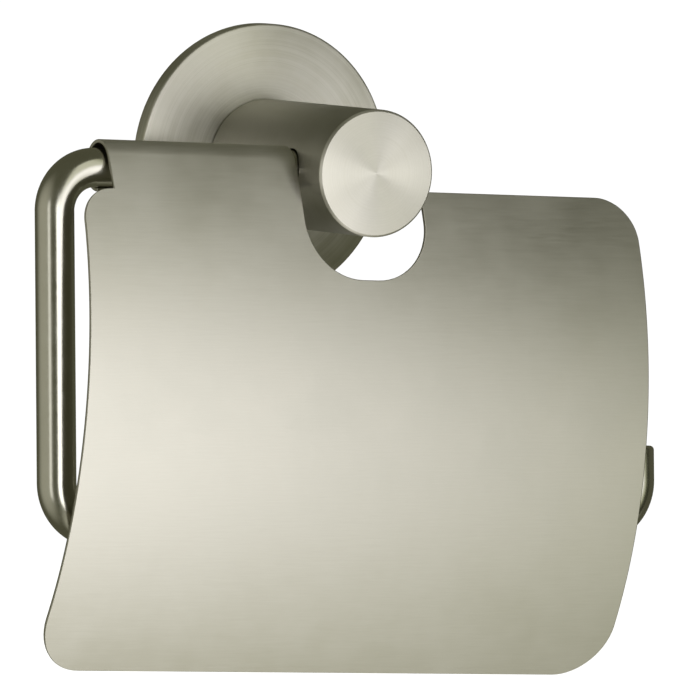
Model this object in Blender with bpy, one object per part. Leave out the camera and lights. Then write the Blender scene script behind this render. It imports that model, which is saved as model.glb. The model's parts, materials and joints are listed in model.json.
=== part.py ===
"""Wall-mounted toilet paper holder with a hinged sheet-metal cover.

Units are metres and +Z is up. The origin is the centre of the wall plate's back face, so the wall is
the plane Y = 0 and the user stands on the -Y side. The rod's upper run and its lower arm lie along X.
"""

import math

import bmesh
import bpy
from mathutils import Vector

MM = 0.001
EDGE_BREAK = 0.4 * MM
CUTTER_PAST = 2.0 * MM
SHARP_ANGLE = math.radians(32.0)
POLE_RADIUS = 1e-9

# Sides of each round shape
PLATE_SIDES = 48
SCREW_SIDES = 16
PLUG_SIDES = 20
ROSETTE_SIDES = 72
POST_SIDES = 64
ROD_SIDES = 24
GRUB_SIDES = 24
GRUB_HOLE_SIDES = 24
HOLE_SIDES = 32
HEXAGON_SIDES = 6

# Wall plate with the spigot that the post slides over
PLATE_RADIUS = 25.0 * MM
PLATE_THICKNESS = 2.2 * MM
SPIGOT_RADIUS = 9.0 * MM
SPIGOT_TIP_Y = -16.0 * MM
GROOVE_RADIUS = 7.8 * MM
GROOVE_Y = -10.5 * MM
GROOVE_HALF_FLOOR = 1.3 * MM
GROOVE_HALF_MOUTH = 2.2 * MM
SCREW_SPACING = 32.0 * MM

# Countersunk wood screws and their wall plugs
SCREW_RADIUS = 2.0 * MM
SCREW_CORE_RADIUS = 1.45 * MM
SCREW_HEAD_RADIUS = 3.8 * MM
SCREW_HEAD_FRONT_Y = -2.0 * MM
SCREW_TIP_Y = 25.6 * MM
THREAD_START_Y = 3.2 * MM
THREAD_PITCH = 2.4 * MM
THREAD_TURNS = 8
THREAD_ROOT_SHARE = 0.45
THREAD_CREST_SHARE = 0.7
SCREW_HOLE_RADIUS = 2.4 * MM
SCREW_HEAD_GAP = 0.3 * MM
CROSS_LENGTH = 3.6 * MM
CROSS_WIDTH = 0.8 * MM
CROSS_DEPTH = 1.3 * MM
PLUG_RADIUS = 4.0 * MM
PLUG_BORE_RADIUS = 2.35 * MM
PLUG_FRONT_Y = 2.4 * MM
PLUG_LENGTH = 25.0 * MM
PLUG_RIBS = 5
PLUG_RIB_HEIGHT = 0.4 * MM
PLUG_TIP_WALL = 1.1 * MM
PLUG_TIP_TAPER = 1.2 * MM
PLUG_SLOT_WIDTH = 0.9 * MM
PLUG_SLOT_LENGTH = PLUG_LENGTH * 0.55
PLUG_SLOT_MIDDLE = PLUG_LENGTH * 0.58
PLUG_RIB_CREST_SHARE = 0.15
PLUG_RIB_ROOT_SHARE = 0.1

# Rosette: the shallow turned cup that hides the wall plate
ROSETTE_RADIUS = 28.55 * MM
ROSETTE_DEPTH = 3.8 * MM
ROSETTE_WALL = 1.2 * MM
ROSETTE_HOLE_RADIUS = 9.4 * MM

# Post
POST_RADIUS = 13.0 * MM
POST_BACK_Y = -4.1 * MM
POST_FRONT_Y = -52.8 * MM
POST_BORE_RADIUS = 9.3 * MM
POST_BORE_END_Y = -16.6 * MM

# Bent rod that carries the roll
ROD_RADIUS = 4.0 * MM
ROD_BEND_RADIUS = 9.0 * MM
ROD_Y = -39.2 * MM
ROD_LEG_X = -66.4 * MM
ROD_TIP_X = 67.4 * MM
ROD_ARM_DROP = 72.5 * MM
ROD_TIP_DROP = 56.4 * MM
ROD_LEAN = math.radians(4.9)
ROD_END_X = 4.6 * MM
ROD_TIP_ROUND = 0.7 * MM
ROD_TIP_EASE = 0.3 * ROD_TIP_ROUND
ROD_BEND_STEPS = 10
ROD_BORE_RADIUS = 4.35 * MM
ROD_BORE_END_X = 5.0 * MM

# Grub screws, both put in from below the post
GRUB_RADIUS = 2.0 * MM
GRUB_HOLE_RADIUS = 2.3 * MM
GRUB_HEAD_Z = -12.5 * MM
GRUB_HEX_ACROSS_FLATS = 2.0 * MM
GRUB_HEX_DEPTH = 1.7 * MM
GRUB_POINT = 1.3 * MM
GRUB_CHAMFER = 0.3 * MM
PLATE_GRUB_TIP_Z = -8.15 * MM
PLATE_GRUB_HOLE_Z = -8.5 * MM
ROD_GRUB_TIP_Z = -4.35 * MM
ROD_GRUB_HOLE_Z = -3.0 * MM

# Cover: one bent sheet, curled around the rod's upper run. The curl is 0.65 mm looser than the rod all
# round, so the cover hangs a little low on its right side.
COVER_SAG = math.radians(1.2)
SHEET = 0.8 * MM
CURL_RADIUS = 5.05 * MM
CURL_WRAP = math.radians(280.0)
PANEL_CENTRE = (81.9 * MM, -45.7 * MM)
PANEL_MIDDLE_X = -0.3 * MM
PANEL_TOP_Z = -3.0 * MM
PANEL_BOTTOM_Z = -102.1 * MM
PANEL_HALF_WIDTH = 63.85 * MM
PANEL_FLARE = 0.0226
FLARE_START_Z = -12.0 * MM
TONGUE_LEFT_X = -56.7 * MM
CURL_MIDDLE_X = -35.2 * MM
SHOULDER_Z = -4.3 * MM
LEFT_CORNER_RADIUS = 6.6 * MM
RIGHT_CORNER_RADIUS = 9.0 * MM
BOTTOM_CORNER_RADIUS = 10.7 * MM
NOTCH_HALF_WIDTH = 13.8 * MM
NOTCH_BOTTOM_Z = -21.0 * MM
NOTCH_CORNER_RADIUS = 12.0 * MM
CURL_STEPS = 26
PANEL_ROWS = 16
SHOULDER_STEP = 0.02 * MM
LEAST_ROW_GAP = 0.05 * MM
ROW_MATCH = 0.01 * MM


def clear_scene():
    for item in list(bpy.data.objects):
        bpy.data.objects.remove(item, do_unlink=True)


def metal(name, colour, roughness):
    material = bpy.data.materials.new(name)
    material.use_nodes = True
    shader = material.node_tree.nodes["Principled BSDF"]
    shader.inputs["Base Color"].default_value = (*colour, 1.0)
    shader.inputs["Metallic"].default_value = 1.0
    shader.inputs["Roughness"].default_value = roughness
    material.diffuse_color = (*colour, 1.0)
    return material


def brushed_steel():
    return metal("brushed_steel", (0.62, 0.61, 0.56), 0.34)


def turned_steel():
    return metal("turned_steel", (0.60, 0.59, 0.54), 0.30)


def rod_steel():
    return metal("rod_steel", (0.60, 0.59, 0.54), 0.22)


def zinc_plated():
    return metal("zinc_plated", (0.58, 0.58, 0.57), 0.38)


def nylon_grey():
    material = bpy.data.materials.new("nylon_grey")
    material.use_nodes = True
    shader = material.node_tree.nodes["Principled BSDF"]
    shader.inputs["Base Color"].default_value = (0.45, 0.46, 0.47, 1.0)
    shader.inputs["Roughness"].default_value = 0.55
    material.diffuse_color = (0.45, 0.46, 0.47, 1.0)
    return material


def place(name, mesh_builder, material, parent, location=(0.0, 0.0, 0.0), rotation=(0.0, 0.0, 0.0)):
    """Finish a bmesh as a smooth-shaded object with sharp edges kept."""
    bmesh.ops.recalc_face_normals(mesh_builder, faces=mesh_builder.faces)
    mesh = bpy.data.meshes.new(name)
    mesh_builder.to_mesh(mesh)
    mesh_builder.free()
    mesh.shade_smooth()
    mesh.set_sharp_from_angle(angle=SHARP_ANGLE)
    mesh.materials.append(material)
    item = bpy.data.objects.new(name, mesh)
    bpy.context.scene.collection.objects.link(item)
    item.parent = parent
    item.location = location
    item.rotation_euler = rotation
    return item


def empty(name, location, parent=None):
    item = bpy.data.objects.new(name, None)
    item.empty_display_size = 0.02
    bpy.context.scene.collection.objects.link(item)
    item.parent = parent
    item.location = location
    return item


def add_ring(builder, points):
    return [builder.verts.new(point) for point in points]


def bridge(builder, first, second):
    """Join two rings, either of which may be a single pole vertex."""
    count = max(len(first), len(second))
    for i in range(count):
        j = (i + 1) % count
        if len(first) == 1:
            builder.faces.new((first[0], second[j], second[i]))
        elif len(second) == 1:
            builder.faces.new((first[i], first[j], second[0]))
        else:
            builder.faces.new((first[i], first[j], second[j], second[i]))


def turned_about_y(profile, segments, closed=False):
    """Turn (radius, y) points about the Y axis. A closed profile makes a ring with a hole in it."""
    builder = bmesh.new()
    rings = []
    for radius, y in profile:
        if radius < POLE_RADIUS:
            rings.append(add_ring(builder, [(0.0, y, 0.0)]))
            continue
        angles = [2.0 * math.pi * k / segments for k in range(segments)]
        rings.append(add_ring(builder, [(radius * math.cos(a), y, radius * math.sin(a)) for a in angles]))
    pairs = list(zip(rings, rings[1:]))
    if closed:
        pairs.append((rings[-1], rings[0]))
    for first, second in pairs:
        bridge(builder, first, second)
    return builder


def swept_round(path, radii, segments):
    """Sweep a circle along a plane path in XZ, with flat ends."""
    builder = bmesh.new()
    rings = []
    for k, (x, z) in enumerate(path):
        before = Vector(path[max(k - 1, 0)])
        after = Vector(path[min(k + 1, len(path) - 1)])
        along = (after - before).normalized()
        side = Vector((along.y, -along.x))
        ring = []
        for step in range(segments):
            angle = 2.0 * math.pi * step / segments
            across = radii[k] * math.cos(angle)
            ring.append((x + side.x * across, radii[k] * math.sin(angle), z + side.y * across))
        rings.append(add_ring(builder, ring))
    for first, second in zip(rings, rings[1:]):
        bridge(builder, first, second)
    builder.faces.new(rings[0])
    builder.faces.new(rings[-1])
    return builder


def cylinder_cutter(name, radius, start, end, segments=HOLE_SIDES):
    """Hidden cylinder between two points, used by a Boolean."""
    start, end = Vector(start), Vector(end)
    along = end - start
    builder = bmesh.new()
    bmesh.ops.create_cone(
        builder, cap_ends=True, segments=segments, radius1=radius, radius2=radius, depth=along.length
    )
    turn = along.to_track_quat("Z", "Y").to_matrix().to_4x4()
    bmesh.ops.transform(builder, matrix=turn, verts=builder.verts)
    bmesh.ops.translate(builder, vec=(start + end) / 2.0, verts=builder.verts)
    return hidden_cutter(name, builder)


def box_cutter(name, size, centre):
    builder = bmesh.new()
    bmesh.ops.create_cube(builder, size=1.0)
    bmesh.ops.scale(builder, vec=size, verts=builder.verts)
    cutter = hidden_cutter(name, builder)
    cutter.location = centre
    return cutter


def hidden_cutter(name, builder):
    bmesh.ops.recalc_face_normals(builder, faces=builder.faces)
    mesh = bpy.data.meshes.new(name)
    builder.to_mesh(mesh)
    builder.free()
    cutter = bpy.data.objects.new(name, mesh)
    bpy.context.scene.collection.objects.link(cutter)
    cutter.hide_render = True
    cutter.display_type = "WIRE"
    return cutter


def cut(item, cutter):
    modifier = item.modifiers.new(cutter.name, "BOOLEAN")
    modifier.operation = "DIFFERENCE"
    modifier.solver = "EXACT"
    modifier.object = cutter


def wall_plate(parent, material):
    mouth_back = GROOVE_Y + GROOVE_HALF_MOUTH
    mouth_front = GROOVE_Y - GROOVE_HALF_MOUTH
    profile = [
        (0.0, 0.0),
        (PLATE_RADIUS, 0.0),
        (PLATE_RADIUS, -PLATE_THICKNESS + EDGE_BREAK),
        (PLATE_RADIUS - EDGE_BREAK, -PLATE_THICKNESS),
        (SPIGOT_RADIUS, -PLATE_THICKNESS),
        (SPIGOT_RADIUS, mouth_back),
        (GROOVE_RADIUS, GROOVE_Y + GROOVE_HALF_FLOOR),
        (GROOVE_RADIUS, GROOVE_Y - GROOVE_HALF_FLOOR),
        (SPIGOT_RADIUS, mouth_front),
        (SPIGOT_RADIUS, SPIGOT_TIP_Y + EDGE_BREAK),
        (SPIGOT_RADIUS - EDGE_BREAK, SPIGOT_TIP_Y),
        (0.0, SPIGOT_TIP_Y),
    ]
    plate = place("wall_plate", turned_about_y(profile, PLATE_SIDES), material, parent)
    for side, sign in (("upper", 1.0), ("lower", -1.0)):
        cut(plate, countersink_cutter("cut_countersink_" + side, sign * SCREW_SPACING / 2.0))
    return plate


def countersink_cutter(name, z):
    """Through hole and 45 degree seat, a constant gap away from the screw's head."""
    seat = SCREW_HEAD_GAP * math.sqrt(2.0)
    mouth_y = -PLATE_THICKNESS - EDGE_BREAK
    cone_end_y = SCREW_HEAD_FRONT_Y + (SCREW_HEAD_RADIUS + seat - SCREW_HOLE_RADIUS)
    mouth_radius = SCREW_HOLE_RADIUS + (cone_end_y - mouth_y)
    profile = [
        (0.0, mouth_y),
        (mouth_radius, mouth_y),
        (SCREW_HOLE_RADIUS, cone_end_y),
        (SCREW_HOLE_RADIUS, EDGE_BREAK),
        (0.0, EDGE_BREAK),
    ]
    builder = turned_about_y(profile, HOLE_SIDES)
    bmesh.ops.translate(builder, vec=(0.0, 0.0, z), verts=builder.verts)
    return hidden_cutter(name, builder)


def wall_screw(name, z, parent, material):
    neck_y = SCREW_HEAD_FRONT_Y + SCREW_HEAD_RADIUS - SCREW_RADIUS
    profile = [(0.0, SCREW_HEAD_FRONT_Y), (SCREW_HEAD_RADIUS, SCREW_HEAD_FRONT_Y), (SCREW_RADIUS, neck_y)]
    for turn in range(THREAD_TURNS):
        y = THREAD_START_Y + turn * THREAD_PITCH
        profile.append((SCREW_CORE_RADIUS, y))
        profile.append((SCREW_CORE_RADIUS, y + THREAD_ROOT_SHARE * THREAD_PITCH))
        profile.append((SCREW_RADIUS, y + THREAD_CREST_SHARE * THREAD_PITCH))
    profile.append((SCREW_CORE_RADIUS, THREAD_START_Y + THREAD_TURNS * THREAD_PITCH))
    profile.append((0.0, SCREW_TIP_Y))
    screw = place(name, turned_about_y(profile, SCREW_SIDES), material, parent, location=(0.0, 0.0, z))
    across = (CROSS_LENGTH, 2.0 * CROSS_DEPTH, CROSS_WIDTH)
    upright = (CROSS_WIDTH, 2.0 * CROSS_DEPTH, CROSS_LENGTH)
    for label, size in (("across", across), ("upright", upright)):
        cut(screw, box_cutter("cut_" + name + "_" + label, size, (0.0, SCREW_HEAD_FRONT_Y, z)))
    return screw


def wall_plug(name, z, parent, material):
    back_y = PLUG_FRONT_Y + PLUG_LENGTH
    rib = PLUG_LENGTH / (PLUG_RIBS + 1)
    root = PLUG_RADIUS - PLUG_RIB_HEIGHT
    profile = [(0.0, back_y), (PLUG_RADIUS - PLUG_TIP_TAPER, back_y), (root, back_y - PLUG_TIP_TAPER)]
    for k in range(PLUG_RIBS, 0, -1):
        y = PLUG_FRONT_Y + k * rib
        profile.append((PLUG_RADIUS, y + PLUG_RIB_CREST_SHARE * rib))
        profile.append((root, y - PLUG_RIB_ROOT_SHARE * rib))
        profile.append((PLUG_RADIUS, y - PLUG_RIB_CREST_SHARE * rib))
    profile.append((PLUG_RADIUS, PLUG_FRONT_Y))
    profile.append((PLUG_BORE_RADIUS, PLUG_FRONT_Y))
    profile.append((PLUG_BORE_RADIUS, back_y - PLUG_TIP_WALL))
    profile.append((0.0, back_y - PLUG_TIP_WALL))
    plug = place(name, turned_about_y(profile, PLUG_SIDES), material, parent, location=(0.0, 0.0, z))
    slot_size = (3.0 * PLUG_RADIUS, PLUG_SLOT_LENGTH, PLUG_SLOT_WIDTH)
    cut(plug, box_cutter("cut_" + name, slot_size, (0.0, PLUG_FRONT_Y + PLUG_SLOT_MIDDLE, z)))
    return plug


def rosette(parent, material):
    inner = ROSETTE_RADIUS - ROSETTE_WALL
    back = -ROSETTE_DEPTH + ROSETTE_WALL
    profile = [
        (ROSETTE_HOLE_RADIUS, -ROSETTE_DEPTH),
        (ROSETTE_RADIUS - EDGE_BREAK, -ROSETTE_DEPTH),
        (ROSETTE_RADIUS, -ROSETTE_DEPTH + EDGE_BREAK),
        (ROSETTE_RADIUS, 0.0),
        (inner, 0.0),
        (inner, back),
        (ROSETTE_HOLE_RADIUS, back),
    ]
    return place("rosette", turned_about_y(profile, ROSETTE_SIDES, closed=True), material, parent)


def post(parent, material):
    profile = [
        (0.0, POST_BORE_END_Y),
        (POST_BORE_RADIUS, POST_BORE_END_Y),
        (POST_BORE_RADIUS, POST_BACK_Y),
        (POST_RADIUS - EDGE_BREAK, POST_BACK_Y),
        (POST_RADIUS, POST_BACK_Y - EDGE_BREAK),
        (POST_RADIUS, POST_FRONT_Y + EDGE_BREAK),
        (POST_RADIUS - EDGE_BREAK, POST_FRONT_Y),
        (0.0, POST_FRONT_Y),
    ]
    item = place("post", turned_about_y(profile, POST_SIDES), material, parent)
    outside = -POST_RADIUS - CUTTER_PAST
    bore_end = (ROD_BORE_END_X, ROD_Y, 0.0)
    cut(item, cylinder_cutter("cut_rod_bore", ROD_BORE_RADIUS, (outside, ROD_Y, 0.0), bore_end))
    for name, y, top in (("plate", GROOVE_Y, PLATE_GRUB_HOLE_Z), ("rod", ROD_Y, ROD_GRUB_HOLE_Z)):
        start, end = (0.0, y, outside), (0.0, y, top)
        cut(item, cylinder_cutter("cut_" + name + "_grub", GRUB_HOLE_RADIUS, start, end, GRUB_HOLE_SIDES))
    return item


def grub_screw(name, y, tip_z, parent, material):
    """Headless set screw along Z, with a cone point and a hexagon socket at its lower end."""
    length = tip_z - GRUB_HEAD_Z
    profile = [
        (0.0, 0.0),
        (GRUB_RADIUS - GRUB_CHAMFER, 0.0),
        (GRUB_RADIUS, GRUB_CHAMFER),
        (GRUB_RADIUS, length - GRUB_POINT),
        (GRUB_RADIUS - GRUB_POINT, length),
        (0.0, length),
    ]
    turn = (math.radians(90.0), 0.0, 0.0)
    screw = place(name, turned_about_y(profile, GRUB_SIDES), material, parent, (0.0, y, GRUB_HEAD_Z), turn)
    socket = cylinder_cutter(
        "cut_" + name,
        GRUB_HEX_ACROSS_FLATS / math.sqrt(3.0),
        (0.0, y, GRUB_HEAD_Z - CUTTER_PAST),
        (0.0, y, GRUB_HEAD_Z + GRUB_HEX_DEPTH),
        HEXAGON_SIDES,
    )
    cut(screw, socket)
    return screw


def arc_points(centre, radius, start, stop, steps):
    """Points on a circle in the rod's plane, the start included and the end left out."""
    points = []
    for k in range(steps):
        angle = start + (stop - start) * k / steps
        points.append((centre[0] + radius * math.cos(angle), centre[1] + radius * math.sin(angle)))
    return points


def rod_path():
    """Centre line in the rod's own plane, from inside the post to the upturned tip."""
    bend = ROD_BEND_RADIUS
    quarter = math.pi / 2.0
    left, right = ROD_LEG_X + bend, ROD_TIP_X - bend
    path = [(ROD_END_X, 0.0), (ROD_END_X - ROD_TIP_ROUND, 0.0), (-POST_RADIUS, 0.0)]
    path += arc_points((left, -bend), bend, quarter, 2.0 * quarter, ROD_BEND_STEPS)
    path += arc_points((left, -ROD_ARM_DROP + bend), bend, 2.0 * quarter, 3.0 * quarter, ROD_BEND_STEPS)
    path += arc_points((right, -ROD_ARM_DROP + bend), bend, 3.0 * quarter, 4.0 * quarter, ROD_BEND_STEPS)
    path.append((ROD_TIP_X, -ROD_ARM_DROP + bend))
    path.append((ROD_TIP_X, -ROD_TIP_DROP - ROD_TIP_ROUND))
    path.append((ROD_TIP_X, -ROD_TIP_DROP - ROD_TIP_EASE))
    path.append((ROD_TIP_X, -ROD_TIP_DROP))
    return path


def wire_holder(parent, material):
    path = rod_path()
    radii = [ROD_RADIUS] * len(path)
    radii[0] = ROD_RADIUS - ROD_TIP_ROUND
    radii[-2] = ROD_RADIUS - ROD_TIP_EASE
    radii[-1] = ROD_RADIUS - ROD_TIP_ROUND
    builder = swept_round(path, radii, ROD_SIDES)
    return place("wire_holder", builder, material, parent, (0.0, ROD_Y, 0.0), (-ROD_LEAN, 0.0, 0.0))


def sheet_stations():
    """Middle line of the sheet as points and normals in (y, z), from the curl's free edge to the bottom.

    The panel's arc touches the curl from outside, so the sheet leaves the curl without a kink.
    """
    centre = Vector(PANEL_CENTRE)
    panel_radius = centre.length + CURL_RADIUS
    leave = math.atan2(-centre.y, centre.x)
    stations = []
    for k in range(CURL_STEPS + 1):
        turn = CURL_WRAP + (leave - CURL_WRAP) * k / CURL_STEPS
        normal = Vector((-math.cos(turn), math.sin(turn)))
        stations.append((normal * CURL_RADIUS, normal))
    tongue_count = len(stations)
    for z in panel_heights():
        y = centre.x - math.sqrt(panel_radius**2 - (z - centre.y) ** 2)
        point = Vector((y, z))
        stations.append((point, (point - centre).normalized()))
    return stations, tongue_count


def panel_heights():
    """Heights of the panel's stations, closer together where the outline curves."""
    heights = [PANEL_TOP_Z]
    corner_end = SHOULDER_Z - LEFT_CORNER_RADIUS
    heights += [SHOULDER_Z + SHOULDER_STEP]
    heights += [corner_end + LEFT_CORNER_RADIUS * math.cos(math.radians(a)) for a in range(9, 91, 9)]
    notch_centre = NOTCH_BOTTOM_Z + NOTCH_CORNER_RADIUS
    heights += [notch_centre - NOTCH_CORNER_RADIUS * math.sin(math.radians(a)) for a in range(18, 91, 9)]
    corner_top = PANEL_BOTTOM_Z + BOTTOM_CORNER_RADIUS
    middle_drop = corner_top - NOTCH_BOTTOM_Z
    heights += [NOTCH_BOTTOM_Z + middle_drop * k / PANEL_ROWS for k in range(1, PANEL_ROWS + 1)]
    heights += [corner_top - BOTTOM_CORNER_RADIUS * math.sin(math.radians(a)) for a in range(10, 91, 10)]
    ordered = sorted(set(round(z, 7) for z in heights), reverse=True)
    kept = [ordered[0]]
    for z in ordered[1:]:
        if kept[-1] - z > LEAST_ROW_GAP:
            kept.append(z)
    return kept


def side_x(z):
    return PANEL_HALF_WIDTH + PANEL_FLARE * max(FLARE_START_Z - z, 0.0)


def corner_x(z, edge, centre_z, radius):
    """Half width where a rounded corner of this radius meets the side at its centre height."""
    rise = min(abs(z - centre_z), radius)
    return edge - radius + math.sqrt(radius**2 - rise**2)


def left_x(z):
    corner_z = SHOULDER_Z - LEFT_CORNER_RADIUS
    if z > SHOULDER_Z:
        return TONGUE_LEFT_X
    if z > corner_z:
        return PANEL_MIDDLE_X - corner_x(z, side_x(corner_z), corner_z, LEFT_CORNER_RADIUS)
    return PANEL_MIDDLE_X - bottom_x(z)


def right_x(z):
    corner_z = PANEL_TOP_Z - RIGHT_CORNER_RADIUS
    if z > corner_z:
        return PANEL_MIDDLE_X + corner_x(z, side_x(corner_z), corner_z, RIGHT_CORNER_RADIUS)
    return PANEL_MIDDLE_X + bottom_x(z)


def bottom_x(z):
    corner_z = PANEL_BOTTOM_Z + BOTTOM_CORNER_RADIUS
    if z >= corner_z:
        return side_x(z)
    return corner_x(z, side_x(corner_z), corner_z, BOTTOM_CORNER_RADIUS)


def notch_x(z):
    corner_z = NOTCH_BOTTOM_Z + NOTCH_CORNER_RADIUS
    if z > corner_z:
        return NOTCH_HALF_WIDTH
    return corner_x(max(z, NOTCH_BOTTOM_Z), NOTCH_HALF_WIDTH, corner_z, NOTCH_CORNER_RADIUS)


def cover(parent, material):
    """Bent sheet: the curl and its tongue, then the curved panel with the notch for the post."""
    stations, tongue_count = sheet_stations()
    builder = bmesh.new()
    rows = []
    for k, (middle, normal) in enumerate(stations):
        z = middle.y
        if k < tongue_count:
            limits = [TONGUE_LEFT_X, PANEL_MIDDLE_X - NOTCH_HALF_WIDTH]
        else:
            notch = notch_x(z)
            limits = [left_x(z), PANEL_MIDDLE_X - notch, PANEL_MIDDLE_X + notch, right_x(z)]
        row = []
        for x in limits:
            pair = []
            for offset in (SHEET / 2.0, -SHEET / 2.0):
                point = middle + normal * offset
                pair.append(builder.verts.new((x - CURL_MIDDLE_X, point.x, point.y)))
            row.append(pair)
        rows.append(row)
    heights = [middle.y for middle, _ in stations]
    notch_end = NOTCH_BOTTOM_Z + ROW_MATCH
    notch_row = next(k for k in range(tongue_count, len(rows)) if heights[k] < notch_end)
    for k in range(len(rows) - 1):
        upper, lower = rows[k], rows[k + 1]
        spans = [0]
        if k >= tongue_count:
            spans.append(2)
        if k >= notch_row:
            spans.append(1)
        for s in spans:
            for face in (0, 1):
                builder.faces.new((upper[s][face], upper[s + 1][face], lower[s + 1][face], lower[s][face]))
        walls = [0]
        if k < notch_row:
            walls.append(1)
        if k >= tongue_count:
            walls.append(3)
            if k < notch_row:
                walls.append(2)
        for w in walls:
            builder.faces.new((upper[w][0], upper[w][1], lower[w][1], lower[w][0]))
    close_edge(builder, rows[0], 0, 1)
    close_edge(builder, rows[tongue_count], 2, 3)
    close_edge(builder, rows[notch_row], 1, 2)
    for s in range(3):
        close_edge(builder, rows[-1], s, s + 1)
    middle_of_curl = (CURL_MIDDLE_X, 0.0, 0.0)
    return place("cover", builder, material, parent, middle_of_curl, (0.0, COVER_SAG, 0.0))


def close_edge(builder, row, first, second):
    builder.faces.new((row[first][0], row[first][1], row[second][1], row[second][0]))


def build():
    clear_scene()
    holder = empty("holder", (0.0, 0.0, 0.0))
    hinge = empty("cover_hinge", (0.0, ROD_Y, 0.0), holder)
    zinc = zinc_plated()
    turned = turned_steel()
    nylon = nylon_grey()
    wall_plate(holder, zinc)
    for side, sign in (("upper", 1.0), ("lower", -1.0)):
        wall_screw("wall_screw_" + side, sign * SCREW_SPACING / 2.0, holder, zinc)
        wall_plug("wall_plug_" + side, sign * SCREW_SPACING / 2.0, holder, nylon)
    rosette(holder, turned)
    post(holder, turned)
    grub_screw("plate_grub_screw", GROOVE_Y, PLATE_GRUB_TIP_Z, holder, zinc)
    grub_screw("rod_grub_screw", ROD_Y, ROD_GRUB_TIP_Z, holder, zinc)
    wire_holder(holder, rod_steel())
    cover(hinge, brushed_steel())


build()
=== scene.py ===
"""Looks for the wall-mounted toilet paper holder: brushed cover, turned post and rosette, satin rod.

The wall is the plane Y = 0 and the camera stands on the -Y side. Lengths are in metres.
"""

import json
import math

import bmesh
import bpy
from mathutils import Matrix, Vector


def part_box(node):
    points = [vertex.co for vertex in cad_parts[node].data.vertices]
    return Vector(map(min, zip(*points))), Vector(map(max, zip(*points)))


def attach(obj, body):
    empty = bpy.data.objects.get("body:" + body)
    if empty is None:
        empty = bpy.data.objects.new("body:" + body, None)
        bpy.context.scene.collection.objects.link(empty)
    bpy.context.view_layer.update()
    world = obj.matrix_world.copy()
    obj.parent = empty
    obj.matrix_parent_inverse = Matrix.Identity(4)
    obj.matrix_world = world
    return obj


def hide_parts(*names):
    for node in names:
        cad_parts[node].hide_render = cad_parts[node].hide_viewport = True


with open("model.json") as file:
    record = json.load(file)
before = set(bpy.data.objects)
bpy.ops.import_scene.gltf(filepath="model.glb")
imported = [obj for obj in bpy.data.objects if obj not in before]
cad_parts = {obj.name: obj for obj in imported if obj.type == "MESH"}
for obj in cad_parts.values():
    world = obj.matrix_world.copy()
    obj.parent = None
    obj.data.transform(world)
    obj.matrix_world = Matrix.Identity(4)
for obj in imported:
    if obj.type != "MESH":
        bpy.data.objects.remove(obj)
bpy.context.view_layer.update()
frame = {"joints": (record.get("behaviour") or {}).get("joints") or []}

MM = 0.001
SHARP_ANGLE = math.radians(28.0)
POLE_RADIUS = 1e-9

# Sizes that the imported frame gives
POST_LOW, POST_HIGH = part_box("post")
ROSETTE_LOW, ROSETTE_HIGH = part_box("rosette")
ROD_LOW, ROD_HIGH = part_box("wire_holder")
PLATE_LOW, PLATE_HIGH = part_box("wall_plate")
POST_RADIUS = POST_HIGH.z
ROSETTE_RADIUS = ROSETTE_HIGH.z
PLATE_RADIUS = PLATE_HIGH.z
ROD_Y = frame["joints"][0]["pos_m"][1]

# Rod
ROD_RADIUS = 4.0 * MM
ROD_BEND_RADIUS = 9.0 * MM
ROD_LEG_X = ROD_LOW.x + ROD_RADIUS
ROD_TIP_X = ROD_HIGH.x - ROD_RADIUS
ROD_END_X = 4.6 * MM
ROD_ARM_DROP = 72.5 * MM
ROD_TIP_DROP = 56.4 * MM
ROD_LEAN = math.radians(4.9)
ROD_TIP_ROUND = 0.9 * MM
ROD_BORE_RADIUS = 4.35 * MM

# Post, wall plate and grub screws
POST_CHAMFER = 0.45 * MM
POST_BORE_RADIUS = 9.3 * MM
POST_BORE_END_Y = -16.6 * MM
SPIGOT_RADIUS = 9.0 * MM
PLATE_THICKNESS = 2.2 * MM
GROOVE_RADIUS = 7.8 * MM
GROOVE_Y = -10.5 * MM
GROOVE_HALF_FLOOR = 1.3 * MM
GROOVE_HALF_MOUTH = 2.2 * MM
GRUB_RADIUS = 2.0 * MM
GRUB_HOLE_RADIUS = 2.3 * MM
GRUB_HEAD_Z = -12.5 * MM
GRUB_POINT = 1.3 * MM
GRUB_HEX_ACROSS_FLATS = 2.0 * MM
GRUB_HEX_DEPTH = 1.7 * MM
PLATE_GRUB_TIP_Z = -8.15 * MM
PLATE_GRUB_HOLE_Z = -8.5 * MM
ROD_GRUB_TIP_Z = -4.35 * MM
ROD_GRUB_HOLE_Z = -3.0 * MM
CUTTER_PAST = 2.0 * MM
ROSETTE_HOLE_RADIUS = 9.4 * MM
ROSETTE_WALL = 1.2 * MM

# Wall screws and plugs
SCREW_Z = 16.0 * MM
SCREW_HEAD_RADIUS = 3.8 * MM
SCREW_RADIUS = 2.0 * MM
SCREW_CORE_RADIUS = 1.4 * MM
SCREW_HEAD_Y = -2.0 * MM
SCREW_HOLE_RADIUS = 2.4 * MM
SCREW_HEAD_GAP = 0.3 * MM
CROSS_LENGTH = 3.6 * MM
CROSS_WIDTH = 0.8 * MM
CROSS_DEPTH = 2.6 * MM
THREAD_PITCH = 1.8 * MM
PLUG_RADIUS = 4.0 * MM
PLUG_BORE_RADIUS = 2.35 * MM

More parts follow.
